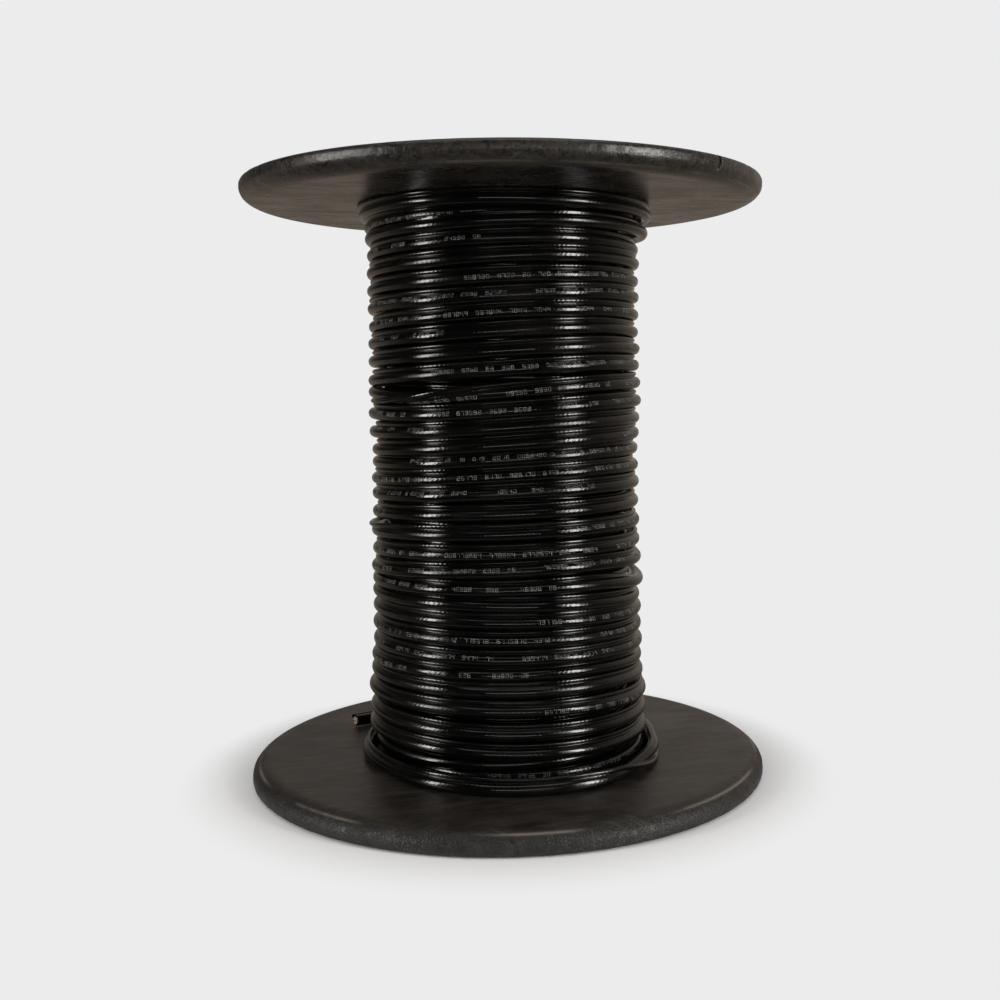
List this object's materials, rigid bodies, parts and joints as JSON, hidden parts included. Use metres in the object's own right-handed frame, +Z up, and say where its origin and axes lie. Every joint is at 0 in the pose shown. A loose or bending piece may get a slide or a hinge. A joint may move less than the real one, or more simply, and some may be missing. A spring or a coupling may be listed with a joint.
{
  "type": "reel of coaxial cable",
  "caption": "Upright cable reel: round moulded flanges on a core tube, wound with black coaxial cable that carries a messenger wire, its last turn lying loose on the lower flange.",
  "frame": {"origin": "middle of the lower flange's underside, which stands on the floor", "axes": "+Z up along the reel's axis; -Y is the side that the picture shows"},
  "size_m": [0.3048, 0.3048, 0.3484],
  "materials": {
    "flange_plastic": "satin black moulding, scuffed along the rim",
    "core_plastic": "plain black tube",
    "cable_jacket": "smooth black jacket, satin gloss"
  },
  "bodies": {
    "root": {"lower_flange": "flange_plastic", "upper_flange": "flange_plastic", "core_tube": "core_plastic", "cable_winding": "cable_jacket", "loose_turn": "cable_jacket"}
  },
  "joints": []
}
